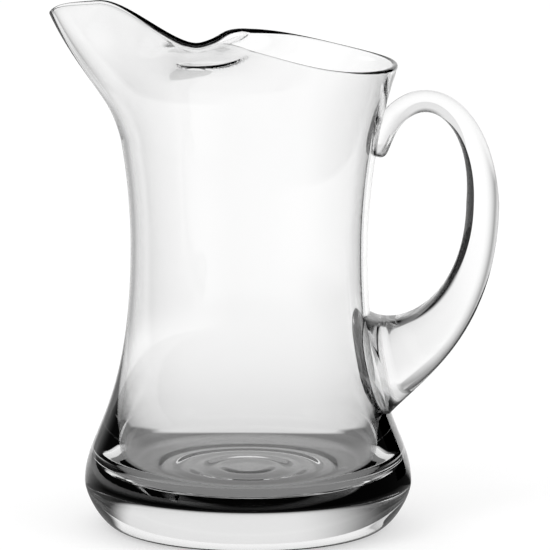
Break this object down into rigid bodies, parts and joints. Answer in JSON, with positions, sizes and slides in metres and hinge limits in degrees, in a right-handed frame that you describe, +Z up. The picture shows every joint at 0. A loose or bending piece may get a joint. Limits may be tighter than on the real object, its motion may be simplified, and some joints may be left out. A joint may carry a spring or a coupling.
{
  "type": "glass pitcher",
  "caption": "Waisted clear glass pitcher with a heavy base, a pulled pouring spout, a pinched throat that holds back ice, and a solid loop handle fused to the wall at both ends.",
  "frame": {"origin": "on the jug's axis, in the plane of the ring that it stands on", "axes": "+Z up along the jug's axis, +X towards the handle, -X towards the spout, +Y to the right of the spout seen from the handle"},
  "size_m": [0.2023, 0.148, 0.2381],
  "materials": {
    "body_glass": "clear soda-lime glass, blown and fire-polished",
    "handle_glass": "clear soda-lime glass, drawn by hand and fire-polished"
  },
  "bodies": {
    "root": {"body": "body_glass", "handle": "handle_glass"}
  },
  "joints": []
}
